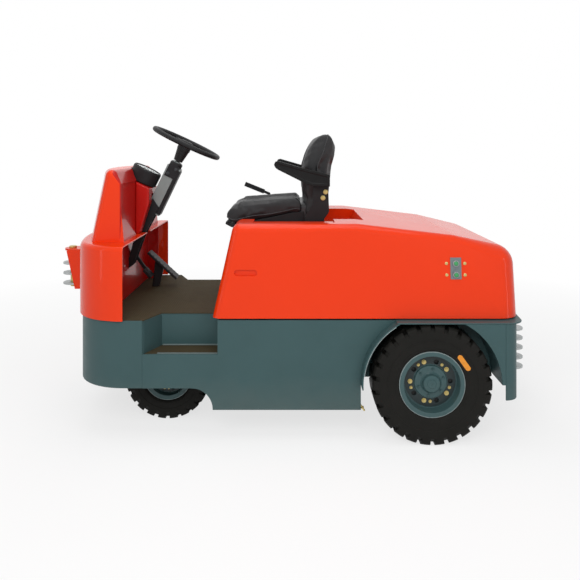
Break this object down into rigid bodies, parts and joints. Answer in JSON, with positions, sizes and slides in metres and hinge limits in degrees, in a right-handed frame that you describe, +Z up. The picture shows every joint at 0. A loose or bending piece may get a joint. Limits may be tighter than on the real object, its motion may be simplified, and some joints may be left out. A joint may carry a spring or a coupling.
{
  "type": "electric tow tractor",
  "caption": "Low four-wheel battery tow tractor with wrap-round nose, upright cowl, side steps, hinged hood carrying the seat, and stepped coupler plates front and rear.",
  "frame": {"origin": "on the ground, in the middle of the length over the couplers and of the width over the rear tyres", "axes": "+X forward, +Y to the driver's left, +Z up"},
  "size_m": [2.462, 1.2, 1.4499],
  "materials": {
    "chassis_paint": "satin grey-teal paint",
    "body_paint": "gloss orange-red paint",
    "mat": "ribbed olive-brown mat",
    "bare_steel": "plated steel",
    "zinc": "yellow zinc",
    "black_plastic": "moulded black",
    "column_grey": "grey paint",
    "running_gear": "dark castings",
    "tyre": "tyre rubber",
    "buffer_rubber": "black rubber",
    "vinyl": "black vinyl",
    "plate_grey": "grey plate"
  },
  "bodies": {
    "chassis": {"nose_apron": "chassis_paint", "side_plate_left": "chassis_paint", "side_plate_right": "chassis_paint", "step_box_left": "chassis_paint", "step_box_right": "chassis_paint", "step_tread_left": "mat", "step_tread_right": "mat", "floor_plate": "chassis_paint", "floor_mat": "mat", "main_frame": "chassis_paint", "rear_fender_left": "chassis_paint", "rear_fender_right": "chassis_paint", "rear_shelf": "chassis_paint", "rear_wall": "chassis_paint", "rear_coupler": "bare_steel", "front_cowl": "body_paint", "cowl_tower": "body_paint", "dash_console": "body_paint", "footwell_liner": "body_paint", "instrument_pod": "black_plastic", "front_coupler": "body_paint", "front_coupler_plates": "bare_steel", "front_coupler_pin": "zinc", "steering_column": "column_grey", "column_bracket": "black_plastic", "accelerator_pedal": "black_plastic", "brake_pedal": "black_plastic", "battery": "running_gear", "rear_axle": "running_gear", "drive_motor": "running_gear", "front_axle": "running_gear", "hood_buffers": "buffer_rubber", "hinge_bases": "bare_steel"},
    "hood_body": {"hood": "body_paint", "hinge_leaves": "bare_steel", "button_plate": "plate_grey", "seat_base": "black_plastic", "seat_cushion": "vinyl", "seat_backrest": "vinyl", "armrest_left": "black_plastic", "armrest_right": "black_plastic", "hand_lever": "black_plastic"},
    "steering_wheel_body": {"steering_wheel": "black_plastic"},
    "left_knuckle": {"knuckle_left": "running_gear"},
    "right_knuckle": {"knuckle_right": "running_gear"},
    "tie_rod_body": {"tie_rod": "bare_steel"},
    "front_left_wheel": {"front_rim_left": "chassis_paint", "front_tyre_left": "tyre"},
    "front_right_wheel": {"front_rim_right": "chassis_paint", "front_tyre_right": "tyre"},
    "rear_left_wheel": {"rear_rim_left": "chassis_paint", "rear_tyre_left": "tyre"},
    "rear_right_wheel": {"rear_rim_right": "chassis_paint", "rear_tyre_right": "tyre"}
  },
  "joints": [
    {"name": "steer_left", "type": "hinge", "parent": "chassis", "child": "left_knuckle", "pos_m": [0.617, 0.15, 0.208], "axis": [0, 0, 1], "range_deg": [-35, 35]},
    {"name": "steer_right", "type": "hinge", "parent": "chassis", "child": "right_knuckle", "pos_m": [0.617, -0.15, 0.208], "axis": [0, 0, 1], "range_deg": [-35, 35]},
    {"name": "tie_rod_pivot", "type": "hinge", "parent": "left_knuckle", "child": "tie_rod_body", "pos_m": [0.517, 0.15, 0.144], "axis": [0, 0, 1], "range_deg": [-35, 35]},
    {"name": "steering_wheel_turn", "type": "hinge", "parent": "chassis", "child": "steering_wheel_body", "pos_m": [0.572, 0, 1.358], "axis": [-0.4337, 0, 0.9011], "range_deg": [-540, 540]},
    {"name": "front_left_spin", "type": "hinge", "parent": "left_knuckle", "child": "front_left_wheel", "pos_m": [0.617, 0.25, 0.208], "axis": [0, 1, 0], "continuous": true},
    {"name": "front_right_spin", "type": "hinge", "parent": "right_knuckle", "child": "front_right_wheel", "pos_m": [0.617, -0.25, 0.208], "axis": [0, 1, 0], "continuous": true},
    {"name": "rear_left_spin", "type": "hinge", "parent": "chassis", "child": "rear_left_wheel", "pos_m": [-0.625, 0.522, 0.27], "axis": [0, 1, 0], "continuous": true},
    {"name": "rear_right_spin", "type": "hinge", "parent": "chassis", "child": "rear_right_wheel", "pos_m": [-0.625, -0.522, 0.27], "axis": [0, 1, 0], "continuous": true},
    {"name": "hood_hinge", "type": "hinge", "parent": "chassis", "child": "hood_body", "pos_m": [-1.052, 0, 0.575], "axis": [0, -1, 0], "range_deg": [0, 50]}
  ],
  "couplings": [
    {"joint": "steer_right", "follows": "steer_left", "ratio": 1},
    {"joint": "tie_rod_pivot", "follows": "steer_left", "ratio": -1},
    {"joint": "steering_wheel_turn", "follows": "steer_left", "ratio": 15}
  ]
}
